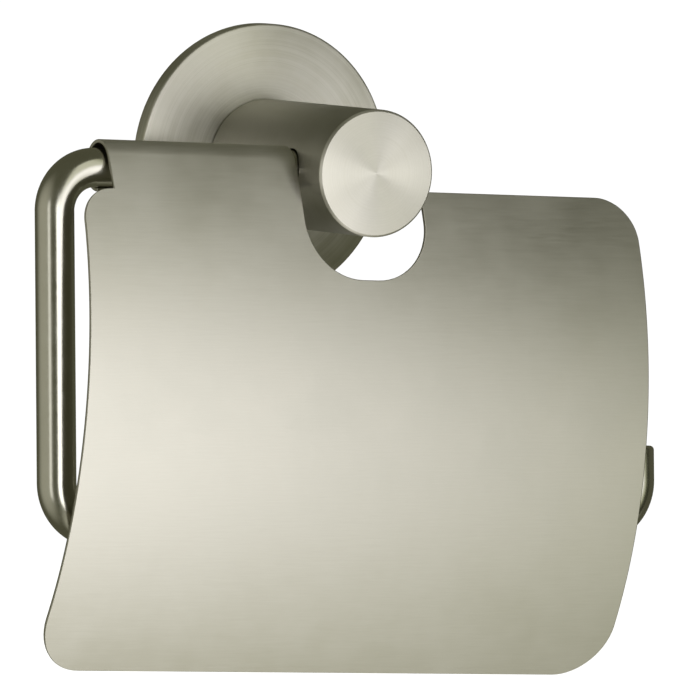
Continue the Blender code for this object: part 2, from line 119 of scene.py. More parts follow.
# Cover sheet. Heights and depths are measured from the hinge axis.
COVER_SAG = math.radians(1.2)
COVER_MIDDLE_X = -35.2 * MM
SHEET = 0.8 * MM
RIM_ROUND = 0.22 * MM
CURL_RADIUS = 4.9 * MM
CURL_WRAP = math.radians(280.0)
PANEL_CENTRE = Vector((81.9 * MM, -45.7 * MM))
PANEL_MIDDLE_X = -0.3 * MM
PANEL_TOP_Z = -3.0 * MM
PANEL_BOTTOM_Z = -102.1 * MM
PANEL_HALF_WIDTH = 63.85 * MM
PANEL_FLARE = 0.0226
FLARE_START_Z = -12.0 * MM
TONGUE_LEFT_X = -56.7 * MM
SHOULDER_Z = -4.3 * MM
LEFT_CORNER_RADIUS = 6.6 * MM
RIGHT_CORNER_RADIUS = 9.0 * MM
BOTTOM_CORNER_RADIUS = 10.7 * MM
NOTCH_HALF_WIDTH = 13.8 * MM
NOTCH_LEFT_X = PANEL_MIDDLE_X - NOTCH_HALF_WIDTH
NOTCH_RIGHT_X = PANEL_MIDDLE_X + NOTCH_HALF_WIDTH
NOTCH_BOTTOM_Z = -21.0 * MM
NOTCH_CORNER_RADIUS = 12.0 * MM

# Camera: straight lens axis, aimed by angles seen from the holder
CAMERA_PLACE = Vector((-1.002986, -1.904647, 0.083754))
CAMERA_AZIMUTH = math.radians(28.312)
CAMERA_DROP = math.radians(3.244)
CAMERA_ROLL = math.radians(1.829)
CAMERA_LENS = 537.6

# Room and backdrop
BACKDROP_RADIUS = 6.0
FLOOR_RADIUS = 3.0
FLOOR_Z = -0.32
WHITE_STRENGTH = 1.05
ROOM_COLOUR = (0.100, 0.100, 0.066)
SOFTBOX_TARGET_Z = -0.045

# Light card in front on the right
CARD_AZIMUTH = math.radians(28.3)
CARD_DISTANCE = 0.45
CARD_LEFT, CARD_RIGHT = -0.30, 0.42
CARD_LOW, CARD_TOP = -0.75, 0.60
CARD_FADE = 6.4


# ---------------------------------------------------------------- materials


class Nodes:
    """A material's node tree, with short calls for adding and joining nodes."""

    def __init__(self, name):
        self.material = bpy.data.materials.new(name)
        self.material.use_nodes = True
        self.tree = self.material.node_tree
        self.shader = self.tree.nodes["Principled BSDF"]
        self.out = self.tree.nodes["Material Output"]

    def add(self, kind, inputs=None, **settings):
        node = self.tree.nodes.new(kind)
        for key, value in settings.items():
            setattr(node, key, value)
        for key, value in (inputs or {}).items():
            if isinstance(value, bpy.types.NodeSocket):
                self.tree.links.new(value, node.inputs[key])
            else:
                node.inputs[key].default_value = value
        return node

    def math(self, operation, first, second=0.0):
        return self.add("ShaderNodeMath", {0: first, 1: second}, operation=operation).outputs[0]

    def noise(self, vector, scale, detail=3.0, roughness=0.55):
        inputs = {"Vector": vector, "Scale": scale, "Detail": detail, "Roughness": roughness}
        return self.add("ShaderNodeTexNoise", inputs).outputs["Fac"]

    def remap(self, value, low, high, start=0.25, stop=0.75):
        inputs = {"Value": value, "From Min": start, "From Max": stop, "To Min": low, "To Max": high}
        return self.add("ShaderNodeMapRange", inputs).outputs["Result"]

    def stretch(self, vector, scale):
        return self.add("ShaderNodeMapping", {"Vector": vector, "Scale": scale}).outputs["Vector"]

    def blend(self, factor, dark, light):
        """Colour between two colours. The Mix node's colour sockets have no names of their own."""
        node = self.add("ShaderNodeMix", {0: factor}, data_type="RGBA")
        node.inputs[6].default_value = (*dark, 1.0)
        node.inputs[7].default_value = (*light, 1.0)
        return node.outputs[2]

    def bump(self, height, distance, strength=1.0, after=None):
        inputs = {"Height": height, "Distance": distance, "Strength": strength}
        if after is not None:
            inputs["Normal"] = after
        return self.add("ShaderNodeBump", inputs).outputs["Normal"]

    def place(self):
        return self.add("ShaderNodeTexCoord").outputs["Object"]

    def connect(self, value, socket):
        self.tree.links.new(value, self.shader.inputs[socket])


def steel(name, grain, cloud_scale, roughness, spread, grain_height, colours, anisotropy, tangent, dim=None):
    """Stainless steel: grain lines in roughness and bump, and soft clouding in tone and roughness."""
    nodes = Nodes(name)
    place = nodes.place()
    lines = grain(nodes, place)
    cloud = nodes.noise(place, cloud_scale, 3.0, 0.6)
    tone = nodes.math("ADD", nodes.math("MULTIPLY", lines, 0.45), nodes.math("MULTIPLY", cloud, 0.55))
    colour = nodes.blend(nodes.remap(tone, 0.0, 1.0, 0.38, 0.62), *colours)
    # Painted shade: where a mask is given, the base colour is scaled down by it.
    if dim is not None:
        scale = {0: colour, "Scale": dim(nodes, place)}
        colour = nodes.add("ShaderNodeVectorMath", scale, operation="SCALE").outputs[0]
    nodes.connect(colour, "Base Color")
    nodes.shader.inputs["Metallic"].default_value = 1.0
    nodes.connect(nodes.remap(tone, roughness - spread, roughness + spread, 0.38, 0.62), "Roughness")
    nodes.shader.inputs["Anisotropic"].default_value = anisotropy
    nodes.shader.inputs["Anisotropic Rotation"].default_value = 0.25
    if tangent is not None:
        nodes.tree.links.new(tangent(nodes), nodes.shader.inputs["Tangent"])
    soft = nodes.bump(cloud, 0.06 * MM, 0.5)
    nodes.connect(nodes.bump(lines, grain_height, 0.6, soft), "Normal")
    return nodes.material


def brushed_lines(nodes, place):
    """Short horizontal brush strokes: long strokes with finer ones among them."""
    long_strokes = nodes.noise(nodes.stretch(place, (110.0, 2200.0, 2200.0)), 1.0, 3.0, 0.6)
    short_strokes = nodes.noise(nodes.stretch(place, (240.0, 5200.0, 5200.0)), 1.0, 2.0, 0.5)
    long_part = nodes.math("MULTIPLY", long_strokes, 0.6)
    return nodes.math("ADD", long_part, nodes.math("MULTIPLY", short_strokes, 0.4))


def turned_lines(nodes, place):
    """Lathe lines: they depend only on the distance from the turning axis and on the place along it."""
    parts = nodes.add("ShaderNodeSeparateXYZ", {0: place})
    across = nodes.add("ShaderNodeCombineXYZ", {0: parts.outputs[0], 1: parts.outputs[2]}).outputs[0]
    radius = nodes.add("ShaderNodeVectorMath", {0: across}, operation="LENGTH").outputs["Value"]
    line = nodes.add("ShaderNodeCombineXYZ", {0: radius, 1: parts.outputs[1]}).outputs[0]
    coarse = nodes.noise(nodes.stretch(line, (900.0, 900.0, 1.0)), 1.0, 2.0, 0.5)
    fine = nodes.noise(nodes.stretch(line, (3800.0, 3800.0, 1.0)), 1.0, 2.0, 0.6)
    return nodes.math("ADD", nodes.math("MULTIPLY", coarse, 0.4), nodes.math("MULTIPLY", fine, 0.6))


def satin_lines(nodes, place):
    """Fine satin grain of a polished rod, without a direction."""
    return nodes.noise(place, 2600.0, 4.0, 0.6)


def around_post_axis(nodes):
    return nodes.add("ShaderNodeTangent", direction_type="RADIAL", axis="Y").outputs[0]


def along_sheet(nodes):
    return nodes.add("ShaderNodeTangent", direction_type="UV_MAP", uv_map="sheet").outputs[0]


def cover_steel():
    colours = ((0.585, 0.568, 0.500), (0.640, 0.624, 0.556))
    return steel("cover_steel", brushed_lines, 55.0, 0.38, 0.035, 0.014 * MM, colours, 0.88, along_sheet)


def painted_side_shade(nodes, place):
    """Painted shade on the post's side: its base colour is scaled down to 0.74 of the turned front face's,
    standing in for the dark surroundings that the side reflects.
    """
    depth = nodes.add("ShaderNodeSeparateXYZ", {0: place}).outputs[1]
    edge = {"Value": depth, "From Min": POST_LOW.y + 0.5 * MM, "From Max": POST_LOW.y + 0.9 * MM}
    edge.update({"To Min": 1.0, "To Max": 0.74})
    return nodes.add("ShaderNodeMapRange", edge).outputs["Result"]


def post_steel():
    grain = (turned_lines, 90.0, 0.37, 0.04, 0.012 * MM)
    colours = ((0.585, 0.568, 0.500), (0.660, 0.644, 0.580))
    return steel("post_steel", *grain, colours, 0.88, around_post_axis, painted_side_shade)


def rosette_steel():
    colours = ((0.530, 0.515, 0.435), (0.740, 0.722, 0.650))
    return steel("rosette_steel", turned_lines, 60.0, 0.36, 0.05, 0.020 * MM, colours, 0.88, around_post_axis)


def rod_steel():
    colours = ((0.590, 0.575, 0.500), (0.635, 0.620, 0.550))
    return steel("rod_steel", satin_lines, 120.0, 0.21, 0.04, 0.004 * MM, colours, 0.0, None)


def zinc_plated():
    """Zinc plating: grey metal with a faint crystal mottling and tool marks."""
    nodes = Nodes("zinc_plated")
    place = nodes.place()
    crystal = nodes.add("ShaderNodeTexVoronoi", {"Vector": place, "Scale": 520.0}).outputs["Distance"]
    cloud = nodes.noise(place, 240.0, 4.0, 0.6)
    mottle = nodes.math("ADD", nodes.math("MULTIPLY", crystal, 0.3), nodes.math("MULTIPLY", cloud, 0.7))
    colour = nodes.blend(nodes.remap(mottle, 0.0, 1.0), (0.47, 0.48, 0.49), (0.60, 0.61, 0.62))
    nodes.connect(colour, "Base Color")
    nodes.shader.inputs["Metallic"].default_value = 1.0
    nodes.connect(nodes.remap(mottle, 0.30, 0.44), "Roughness")
    nodes.connect(nodes.bump(mottle, 0.02 * MM, 0.5), "Normal")
    return nodes.material


def nylon():
    """Moulded grey nylon with a fine matt texture."""
    nodes = Nodes("nylon")
    place = nodes.place()
    grain = nodes.noise(place, 3200.0, 2.0, 0.5)
    cloud = nodes.noise(place, 180.0, 3.0, 0.5)
    colour = nodes.blend(nodes.remap(cloud, 0.0, 1.0), (0.30, 0.31, 0.32), (0.37, 0.38, 0.39))
    nodes.connect(colour, "Base Color")
    nodes.connect(nodes.remap(grain, 0.48, 0.60), "Roughness")
    nodes.shader.inputs["Subsurface Weight"].default_value = 0.05
    nodes.connect(nodes.bump(grain, 0.02 * MM, 0.4), "Normal")
    return nodes.material


def pale_floor():
    """Matt white studio floor with a very slight unevenness."""
    nodes = Nodes("pale_floor")
    place = nodes.place()
    cloud = nodes.noise(place, 3.0, 3.0, 0.5)
    colour = nodes.blend(nodes.remap(cloud, 0.0, 1.0), (0.86, 0.86, 0.86), (0.88, 0.88, 0.88))
    nodes.connect(colour, "Base Color")
    nodes.shader.inputs["Roughness"].default_value = 0.9
    nodes.shader.inputs["Emission Color"].default_value = (1.0, 1.0, 1.0, 1.0)
    nodes.shader.inputs["Emission Strength"].default_value = WHITE_STRENGTH
    return nodes.material


def white_backdrop():
    nodes = Nodes("white_backdrop")
    nodes.tree.nodes.remove(nodes.shader)
    glow = nodes.add("ShaderNodeEmission", {"Color": (1.0, 1.0, 1.0, 1.0), "Strength": WHITE_STRENGTH})
    nodes.tree.links.new(glow.outputs[0], nodes.out.inputs["Surface"])
    return nodes.material


# ---------------------------------------------------------------- mesh tools


def finish_piece(name, builder, material, body, node, cutters=()):
    """Turn a bmesh into a piece that stands for a CAD node, cut by closed cutter meshes."""
    piece = raw_object(name, builder)
    for cutter in cutters:
        modifier = piece.modifiers.new("cut", "BOOLEAN")
        modifier.operation = "DIFFERENCE"
        modifier.solver = "EXACT"
        modifier.object = cutter
    if cutters:
        bpy.context.view_layer.update()
        evaluated = piece.evaluated_get(bpy.context.evaluated_depsgraph_get())
        mesh = bpy.data.meshes.new_from_object(evaluated)
        piece.modifiers.clear()
        piece.data = mesh
        mesh.name = name
        for cutter in cutters:
            bpy.data.objects.remove(cutter, do_unlink=True)
    piece.data.shade_smooth()
    piece.data.set_sharp_from_angle(angle=SHARP_ANGLE)
    piece.data.materials.clear()
    piece.data.materials.append(material)
    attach(piece, body)
    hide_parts(node)
    return piece


def raw_object(name, builder):
    bmesh.ops.recalc_face_normals(builder, faces=builder.faces)
    mesh = bpy.data.meshes.new(name)
    builder.to_mesh(mesh)
    builder.free()
    item = bpy.data.objects.new(name, mesh)
    bpy.context.scene.collection.objects.link(item)
    return item


def rounded(corners, steps=4):
    """Profile points from (radius, y, fillet) corners, with each fillet drawn as an arc."""
    points = []
    for k, (radius, y, fillet) in enumerate(corners):
        here = Vector((radius, y))
        if fillet == 0.0 or k in (0, len(corners) - 1):
            points.append((radius, y))
            continue
        back = (Vector(corners[k - 1][:2]) - here).normalized()
        ahead = (Vector(corners[k + 1][:2]) - here).normalized()
        half = back.angle(ahead) / 2.0
        centre = here + (back + ahead).normalized() * fillet / math.sin(half)
        start = here + back * fillet / math.tan(half) - centre
        stop = here + ahead * fillet / math.tan(half) - centre
        for step in range(steps + 1):
            spoke = start.normalized().slerp(stop.normalized(), step / steps) * fillet
            points.append(tuple(centre + spoke))
    return points


def turned(profile, segments=128, closed=False, centre_z=0.0):
    """Turn (radius, y) points about an axis along Y."""
    builder = bmesh.new()
    rings = []
    for radius, y in profile:
        if radius < POLE_RADIUS:
            rings.append([builder.verts.new((0.0, y, centre_z))])
            continue
        ring = []
        for k in range(segments):
            angle = 2.0 * math.pi * k / segments
            ring.append(builder.verts.new((radius * math.cos(angle), y, centre_z + radius * math.sin(angle))))
        rings.append(ring)
    pairs = list(zip(rings, rings[1:]))
    if closed:
        pairs.append((rings[-1], rings[0]))
    for first, second in pairs:
        bridge(builder, first, second)
    return builder


def bridge(builder, first, second):
    """Join two rings, either of which may be a single pole."""
    count = max(len(first), len(second))
    for i in range(count):
        j = (i + 1) % count
        if len(first) == 1:
            builder.faces.new((first[0], second[j], second[i]))
        elif len(second) == 1:
            builder.faces.new((first[i], first[j], second[0]))
        else:
            builder.faces.new((first[i], first[j], second[j], second[i]))


def cylinder(radius, start, end, segments=64):
    """Closed cylinder object between two points, used as a cutter."""
    start, end = Vector(start), Vector(end)
    along = end - start
    builder = bmesh.new()
    bmesh.ops.create_cone(
        builder, cap_ends=True, segments=segments, radius1=radius, radius2=radius, depth=along.length
    )
    turn = along.to_track_quat("Z", "Y").to_matrix().to_4x4()
    bmesh.ops.transform(builder, matrix=Matrix.Translation((start + end) / 2.0) @ turn, verts=builder.verts)
    return raw_object("cutter", builder)


def block(size, centre):
    builder = bmesh.new()
    bmesh.ops.create_cube(builder, size=1.0)
    bmesh.ops.scale(builder, vec=size, verts=builder.verts)
    bmesh.ops.translate(builder, vec=centre, verts=builder.verts)
    return raw_object("cutter", builder)


# ---------------------------------------------------------------- turned pieces


def make_rosette(material):
    """Shallow turned cup with a rounded rim, hollow at the back."""
    front, back = ROSETTE_LOW.y, ROSETTE_HIGH.y
    inner = ROSETTE_RADIUS - ROSETTE_WALL
    floor = front + ROSETTE_WALL
    corners = [
        (ROSETTE_HOLE_RADIUS, floor, 0.0),
        (ROSETTE_HOLE_RADIUS, front, 0.12 * MM),
        (ROSETTE_RADIUS, front, 0.45 * MM),
        (ROSETTE_RADIUS, back, 0.15 * MM),
        (inner, back, 0.15 * MM),
        (inner, floor, 0.4 * MM),
        (ROSETTE_HOLE_RADIUS, floor, 0.0),
    ]
    profile = rounded(corners)[:-1]
    builder = turned(profile, 192, closed=True)
    return finish_piece("rosette_cup", builder, material, "holder", "rosette")


def make_post(material):
    """Solid turned post with the rod's cross bore, two grub screw holes and the bore for the spigot."""
    front, back = POST_LOW.y, POST_HIGH.y
    corners = [
        (0.0, POST_BORE_END_Y, 0.0),
        (POST_BORE_RADIUS, POST_BORE_END_Y, 0.0),
        (POST_BORE_RADIUS, back, 0.15 * MM),
        (POST_RADIUS, back, 0.3 * MM),
        (POST_RADIUS, front + POST_CHAMFER, 0.12 * MM),
        (POST_RADIUS - POST_CHAMFER, front, 0.12 * MM),
        (POST_RADIUS * 0.5, front, 0.0),
        (0.0, front, 0.0),
    ]
    outside = -POST_RADIUS - CUTTER_PAST
    bore_end_x = ROD_END_X + 0.4 * MM
    cutters = [
        cylinder(ROD_BORE_RADIUS, (outside, ROD_Y, 0.0), (bore_end_x, ROD_Y, 0.0)),
        cylinder(GRUB_HOLE_RADIUS, (0.0, GROOVE_Y, outside), (0.0, GROOVE_Y, PLATE_GRUB_HOLE_Z), 48),
        cylinder(GRUB_HOLE_RADIUS, (0.0, ROD_Y, outside), (0.0, ROD_Y, ROD_GRUB_HOLE_Z), 48),
    ]
    builder = turned(rounded(corners), 192)
    return finish_piece("post_bar", builder, material, "holder", "post", cutters)


def make_wall_plate(material):
    """Plate with its spigot, the groove that the grub screw bites into, and two countersunk holes."""
    tip = PLATE_LOW.y
    corners = [
        (0.0, 0.0, 0.0),
        (PLATE_RADIUS, 0.0, 0.15 * MM),
        (PLATE_RADIUS, -PLATE_THICKNESS, 0.4 * MM),
        (SPIGOT_RADIUS, -PLATE_THICKNESS, 0.2 * MM),
        (SPIGOT_RADIUS, GROOVE_Y + GROOVE_HALF_MOUTH, 0.0),
        (GROOVE_RADIUS, GROOVE_Y + GROOVE_HALF_FLOOR, 0.0),
        (GROOVE_RADIUS, GROOVE_Y - GROOVE_HALF_FLOOR, 0.0),
        (SPIGOT_RADIUS, GROOVE_Y - GROOVE_HALF_MOUTH, 0.0),
        (SPIGOT_RADIUS, tip, 0.6 * MM),
        (0.0, tip, 0.0),
    ]
    cutters = []
    seat = SCREW_HEAD_GAP * math.sqrt(2.0)
    hole = SCREW_HOLE_RADIUS
    mouth_y = -PLATE_THICKNESS - 0.2 * MM
    behind_y = 0.5 * MM
    cone_end = SCREW_HEAD_Y + SCREW_HEAD_RADIUS + seat - hole
    profile = [
        (0.0, mouth_y),
        (hole + cone_end - mouth_y, mouth_y),
        (hole, cone_end),
        (hole, behind_y),
        (0.0, behind_y),
    ]
    for sign in (1.0, -1.0):
        cutters.append(raw_object("cutter", turned(profile, 64, centre_z=sign * SCREW_Z)))
    builder = turned(rounded(corners), 160)
    return finish_piece("fixing_plate", builder, material, "holder", "wall_plate", cutters)


def make_grub_screw(name, node, y, tip_z, material):
    """Headless set screw along Z with a cone point and a hexagon socket."""
    length = tip_z - GRUB_HEAD_Z
    corners = [
        (0.0, 0.0, 0.0),
        (GRUB_RADIUS, 0.0, 0.25 * MM),
        (GRUB_RADIUS, length - GRUB_POINT, 0.1 * MM),
        (GRUB_RADIUS - GRUB_POINT, length, 0.0),
        (0.0, length, 0.0),
    ]
    builder = turned(rounded(corners), 48)
    upright = Matrix.Translation((0.0, y, GRUB_HEAD_Z)) @ Matrix.Rotation(math.pi / 2.0, 4, "X")
    bmesh.ops.transform(builder, matrix=upright, verts=builder.verts)
    across_corners = GRUB_HEX_ACROSS_FLATS / math.sqrt(3.0)
    below = (0.0, y, GRUB_HEAD_Z - 0.5 * MM)
    socket_end = (0.0, y, GRUB_HEAD_Z + GRUB_HEX_DEPTH)
    socket = cylinder(across_corners, below, socket_end, 6)
    return finish_piece(name, builder, material, "holder", node, [socket])


def make_wall_screw(name, node, z, material):
    """Countersunk wood screw with a helical thread and a cross recess."""
    segments = 32
    tip_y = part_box(node)[1].y
    neck_y = SCREW_HEAD_Y + SCREW_HEAD_RADIUS - SCREW_RADIUS
    thread_start = neck_y + 1.4 * MM
    thread_end = tip_y - 1.6 * MM
    rows = [(SCREW_HEAD_Y, SCREW_HEAD_RADIUS - 0.1 * MM), (SCREW_HEAD_Y + 0.1 * MM, SCREW_HEAD_RADIUS)]
    rows += [(neck_y, SCREW_RADIUS), (thread_start, SCREW_RADIUS)]
    count = round((thread_end - thread_start) / (THREAD_PITCH / 8.0))
    rows += [(thread_start + (thread_end - thread_start) * k / count, None) for k in range(1, count + 1)]
    builder = bmesh.new()
    rings = [[builder.verts.new((0.0, SCREW_HEAD_Y, z))]]
    for y, radius in rows:
        ring = []
        for k in range(segments):
            turn = k / segments
            reach = radius
            if radius is None:
                phase = ((y - thread_start) / THREAD_PITCH - turn) % 1.0
                ridge = max(0.0, 1.0 - abs(phase - 0.5) / 0.28)
                fade = min(1.0, (thread_end - y) / (1.5 * MM))
                reach = SCREW_CORE_RADIUS + (SCREW_RADIUS - SCREW_CORE_RADIUS) * ridge * max(fade, 0.0)
            angle = 2.0 * math.pi * turn
            ring.append(builder.verts.new((reach * math.cos(angle), y, z + reach * math.sin(angle))))
        rings.append(ring)
    rings.append([builder.verts.new((0.0, tip_y, z))])
    for first, second in zip(rings, rings[1:]):
        bridge(builder, first, second)
    recess = [
        block((CROSS_LENGTH, CROSS_DEPTH, CROSS_WIDTH), (0.0, SCREW_HEAD_Y, z)),
        block((CROSS_WIDTH, CROSS_DEPTH, CROSS_LENGTH), (0.0, SCREW_HEAD_Y, z)),
    ]
    return finish_piece(name, builder, material, "holder", node, recess)


def make_wall_plug(name, node, z, material):
    """Moulded plug with ribs and a split that lets it spread."""
    low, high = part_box(node)
    front, back = low.y, high.y
    rib = (back - front) / 9.0
    corners = [(0.0, back, 0.0), (PLUG_RADIUS - 1.3 * MM, back, 0.4 * MM)]
    corners.append((PLUG_RADIUS - 0.3 * MM, back - 1.4 * MM, 0.2 * MM))
    for k in range(7, 0, -1):
        y = front + k * rib
        corners.append((PLUG_RADIUS - 0.05 * MM, y + 0.32 * rib, 0.1 * MM))
        corners.append((PLUG_RADIUS - 0.55 * MM, y + 0.05 * rib, 0.1 * MM))
    corners.append((PLUG_RADIUS - 0.15 * MM, front + 1.2 * MM, 0.2 * MM))
    corners.append((PLUG_RADIUS, front, 0.15 * MM))
    corners.append((PLUG_BORE_RADIUS, front, 0.15 * MM))
    corners.append((PLUG_BORE_RADIUS, back - 1.1 * MM, 0.0))
    corners.append((0.0, back - 1.1 * MM, 0.0))
    builder = turned(rounded(corners, 3), 64, centre_z=z)
    length = back - front
    split = block((12.0 * MM, length * 0.55, 0.9 * MM), (0.0, front + length * 0.58, z))
    return finish_piece(name, builder, material, "holder", node, [split])


# ---------------------------------------------------------------- bent rod


def arc_points(centre, radius, start, stop, steps):
    points = []
    for k in range(steps):
        angle = start + (stop - start) * k / steps
        points.append((centre[0] + radius * math.cos(angle), centre[1] + radius * math.sin(angle)))
    return points


def end_rounding(tip, inward, steps=6):
    """Places and radii of a rounded end, from the full radius out to the tip."""
    rings = []
    for k in range(steps + 1):
        angle = math.pi / 2.0 * k / steps
        along = ROD_TIP_ROUND * (1.0 - math.sin(angle))
        radius = ROD_RADIUS - ROD_TIP_ROUND * (1.0 - math.cos(angle))
        rings.append((tip + inward * along, radius))
    return rings


def make_rod(material):
    """Round rod swept along its bent centre line, tilted so that the lower arm stands forward."""
    bend = ROD_BEND_RADIUS
    quarter = math.pi / 2.0
    left, right = ROD_LEG_X + bend, ROD_TIP_X - bend
    low = -ROD_ARM_DROP + bend
    path = []
    for place, radius in reversed(end_rounding(Vector((ROD_END_X, 0.0)), Vector((-1.0, 0.0)))):
        path.append((place.x, place.y, radius))
    middle = [(-POST_RADIUS, 0.0)]
    middle += arc_points((left, -bend), bend, quarter, 2.0 * quarter, 24)
    middle += arc_points((left, low), bend, 2.0 * quarter, 3.0 * quarter, 24)
    middle += arc_points((right, low), bend, 3.0 * quarter, 4.0 * quarter, 24)
    middle.append((ROD_TIP_X, low))
    path += [(x, z, ROD_RADIUS) for x, z in middle]
    for place, radius in end_rounding(Vector((ROD_TIP_X, -ROD_TIP_DROP)), Vector((0.0, -1.0))):
        path.append((place.x, place.y, radius))
    builder = bmesh.new()
    rings = []
    segments = 72
    for k, (x, z, radius) in enumerate(path):
        before = Vector(path[max(k - 1, 0)][:2])
        after = Vector(path[min(k + 1, len(path) - 1)][:2])
        along = (after - before).normalized()
        ring = []
        for step in range(segments):
            angle = 2.0 * math.pi * step / segments
            across = radius * math.cos(angle)
            ring.append(
                builder.verts.new((x + along.y * across, radius * math.sin(angle), z - along.x * across))
            )
        rings.append(ring)
    for first, second in zip(rings, rings[1:]):
        bridge(builder, first, second)
    builder.faces.new(rings[0])
    builder.faces.new(rings[-1])
    tilt = Matrix.Translation((0.0, ROD_Y, 0.0)) @ Matrix.Rotation(-ROD_LEAN, 4, "X")
    bmesh.ops.transform(builder, matrix=tilt, verts=builder.verts)
    return finish_piece("bent_rod", builder, material, "holder", "wire_holder")


# ---------------------------------------------------------------- cover sheet


class SheetSection:
    """The sheet's middle line in the (y, z) plane: a curl that runs on into the panel's wide arc."""

    def __init__(self):
        self.panel_start = math.atan2(-PANEL_CENTRE.y, PANEL_CENTRE.x)
        self.panel_radius = PANEL_CENTRE.length + CURL_RADIUS
        self.curl_length = CURL_RADIUS * (CURL_WRAP - self.panel_start)

    def at(self, s):
        """Point and outward normal at a distance s along the middle line from the curl's free edge."""
        if s < self.curl_length:
            turn = CURL_WRAP - s / CURL_RADIUS
            normal = Vector((-math.cos(turn), math.sin(turn)))
            return normal * CURL_RADIUS, normal
        turn = self.panel_start - (s - self.curl_length) / self.panel_radius
        normal = Vector((-math.cos(turn), math.sin(turn)))
        return PANEL_CENTRE + normal * self.panel_radius, normal

    def s_at(self, z):
        turn = math.asin((z - PANEL_CENTRE.y) / self.panel_radius)
        return self.curl_length + self.panel_radius * (self.panel_start - turn)


class CoverOutline:
    """Left and right limits of the sheet at each height, drawn a little inside the true edge."""

    def __init__(self, inset):
        self.top = PANEL_TOP_Z - inset
        self.inset = inset

    def side(self, z):
        return PANEL_HALF_WIDTH + PANEL_FLARE * max(FLARE_START_Z - z, 0.0) - self.inset

    def corner(self, z, edge, centre_z, radius):
        rise = min(abs(z - centre_z), radius)
        return edge - radius + math.sqrt(radius**2 - rise**2)

    def lower(self, z):
        centre_z = PANEL_BOTTOM_Z + BOTTOM_CORNER_RADIUS
        if z >= centre_z:
            return self.side(z)
        return self.corner(z, self.side(centre_z), centre_z, BOTTOM_CORNER_RADIUS - self.inset)

    def left(self, z):
        centre_z = SHOULDER_Z - LEFT_CORNER_RADIUS
        if z > SHOULDER_Z - self.inset + 1e-7:
            return TONGUE_LEFT_X + self.inset
        if z > centre_z:
            reach = self.corner(z, self.side(centre_z), centre_z, LEFT_CORNER_RADIUS - self.inset)
            return PANEL_MIDDLE_X - reach
        return PANEL_MIDDLE_X - self.lower(z)

    def right(self, z):
        centre_z = PANEL_TOP_Z - RIGHT_CORNER_RADIUS
        if z > centre_z:
            reach = self.corner(z, self.side(centre_z), centre_z, RIGHT_CORNER_RADIUS - self.inset)
            return PANEL_MIDDLE_X + reach
        return PANEL_MIDDLE_X + self.lower(z)

    def notch(self, z):
        """Left and right limits of the notch."""
        centre_z = NOTCH_BOTTOM_Z + NOTCH_CORNER_RADIUS
        if z > centre_z:
            return NOTCH_LEFT_X - self.inset, NOTCH_RIGHT_X + self.inset
        radius = NOTCH_CORNER_RADIUS + self.inset
        pull = radius - math.sqrt(max(radius**2 - (centre_z - z) ** 2, 0.0))
        return NOTCH_LEFT_X - self.inset + pull, NOTCH_RIGHT_X + self.inset - pull

    def heights(self):
        """Row heights down the panel, closer together where the outline curves."""
        steps = [math.radians(a) for a in range(6, 91, 6)]
        inset = self.inset
        rows = [self.top]
        centre = PANEL_TOP_Z - RIGHT_CORNER_RADIUS
        rows += [centre + (RIGHT_CORNER_RADIUS - inset) * math.cos(a) for a in steps]
        rows += [SHOULDER_Z - inset + 0.01 * MM, SHOULDER_Z - inset]
        centre = SHOULDER_Z - LEFT_CORNER_RADIUS
        rows += [centre + (LEFT_CORNER_RADIUS - inset) * math.cos(a) for a in steps]
        centre = NOTCH_BOTTOM_Z + NOTCH_CORNER_RADIUS
        rows += [centre - (NOTCH_CORNER_RADIUS + inset) * math.sin(a) for a in steps]
        notch_end = NOTCH_BOTTOM_Z - inset
        corner_top = PANEL_BOTTOM_Z + BOTTOM_CORNER_RADIUS
        rows += [notch_end + (corner_top - notch_end) * k / 40 for k in range(41)]
        rows += [corner_top - (BOTTOM_CORNER_RADIUS - inset) * math.sin(a) for a in steps]
        kept = []
        for z in sorted(set(round(z, 8) for z in rows), reverse=True):
            if z <= self.top + 1e-9 and (not kept or kept[-1] - z > 0.009 * MM):
                kept.append(z)
        return kept


def flat_cover(section, inset):
    """The sheet's flat pattern as faces in (x, s), a little inside its true edge."""
    outline = CoverOutline(inset)
    rows = []
    curl_rows = 64
    for k in range(curl_rows):
        rows.append((inset + (section.curl_length - inset) * k / curl_rows, None))
    tongue_rows = 6
    tongue_length = section.s_at(outline.top) - section.curl_length
    for k in range(tongue_rows):
        rows.append((section.curl_length + tongue_length * k / tongue_rows, None))
    rows += [(section.s_at(z), z) for z in outline.heights()]
    builder = bmesh.new()
    notch_end = NOTCH_BOTTOM_Z - inset + 0.005 * MM
    previous = None
    for s, z in rows:
        if z is None:
            limits = [TONGUE_LEFT_X + inset, NOTCH_LEFT_X - inset]
        else:
            limits = [outline.left(z), *outline.notch(z), outline.right(z)]
        here = [builder.verts.new((x, s, 0.0)) for x in limits]
        if previous is not None:
            above, above_z = previous
            pairs = [(0, 1)]
            if len(above) == 4:
                pairs.append((2, 3))
                if above_z <= notch_end:
                    pairs.append((1, 2))
            for a, b in pairs:
                builder.faces.new((above[a], above[b], here[b], here[a]))
        previous = (here, z)
    return builder


def boundary_loop(builder):
    """The outline's vertices in order."""
    edges = [e for e in builder.edges if e.is_boundary]
    neighbours = {}
    for edge in edges:
        a, b = edge.verts
        neighbours.setdefault(a, []).append(b)
        neighbours.setdefault(b, []).append(a)
    start = edges[0].verts[0]
    loop, last, here = [start], None, start
    while True:
        options = [v for v in neighbours[here] if v is not last]
        last, here = here, options[0]
        if here is start:
            return loop
        loop.append(here)


